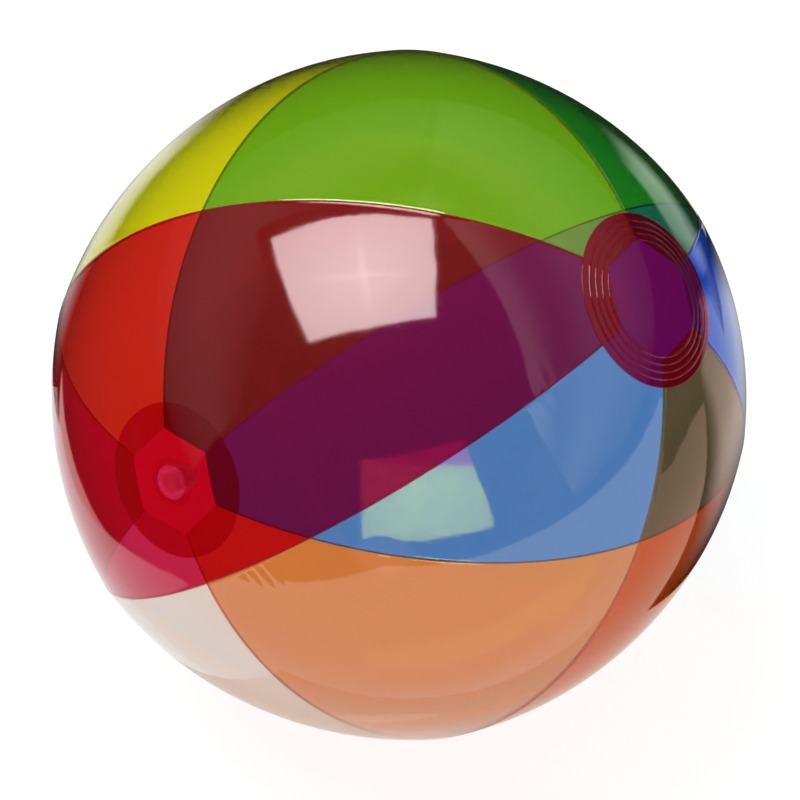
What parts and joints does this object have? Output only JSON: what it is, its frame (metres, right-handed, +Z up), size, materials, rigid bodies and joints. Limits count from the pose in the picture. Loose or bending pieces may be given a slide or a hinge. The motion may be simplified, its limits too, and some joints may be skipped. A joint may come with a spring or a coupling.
{
  "type": "inflatable beach ball",
  "caption": "Inflatable beach ball of see-through coloured film gores, with red end discs and a push-in valve with a tethered plug.",
  "frame": {"origin": "centre of the inflated ball", "axes": "+Z straight up with the ball lying on the ground, -Z towards the ground; the valve's axis points to the left and 47 degrees down"},
  "size_m": [0.3252, 0.3184, 0.328],
  "materials": {
    "film_red": "see-through glossy PVC film",
    "film_clear": "see-through glossy PVC film",
    "film_orange": "see-through glossy PVC film",
    "film_blue": "see-through glossy PVC film",
    "film_green": "see-through glossy PVC film",
    "film_yellow": "see-through glossy PVC film",
    "valve_vinyl": "soft see-through PVC moulding"
  },
  "bodies": {
    "shell": {"gore_red": "film_red", "gore_clear": "film_clear", "gore_orange": "film_orange", "gore_blue": "film_blue", "gore_green": "film_green", "gore_yellow": "film_yellow", "end_disc_plain": "film_red", "end_disc_valve": "film_red", "valve_flange": "valve_vinyl", "valve_skirt": "valve_vinyl"},
    "valve_stem": {"valve_stem": "valve_vinyl"},
    "plug": {"valve_plug": "valve_vinyl", "plug_tether": "valve_vinyl"},
    "check_flap": {"check_flap": "valve_vinyl"}
  },
  "joints": [
    {"name": "valve_slide", "type": "slide", "parent": "shell", "child": "valve_stem", "axis": [-0.6735, 0.1224, -0.729], "range_m": [0, 0.017], "deforming": ["valve_skirt"]},
    {"name": "plug_swing", "type": "hinge", "parent": "valve_stem", "child": "plug", "pos_m": [-0.1088, 0.01977, -0.12682], "axis": [-0.1788, -0.9839, 0], "range_deg": [0, 140]},
    {"name": "flap_swing", "type": "hinge", "parent": "valve_stem", "child": "check_flap", "pos_m": [-0.10619, 0.0193, -0.10778], "axis": [-0.1788, -0.9839, 0], "range_deg": [0, 60], "stiffness_Nm_per_rad": 0.001}
  ]
}
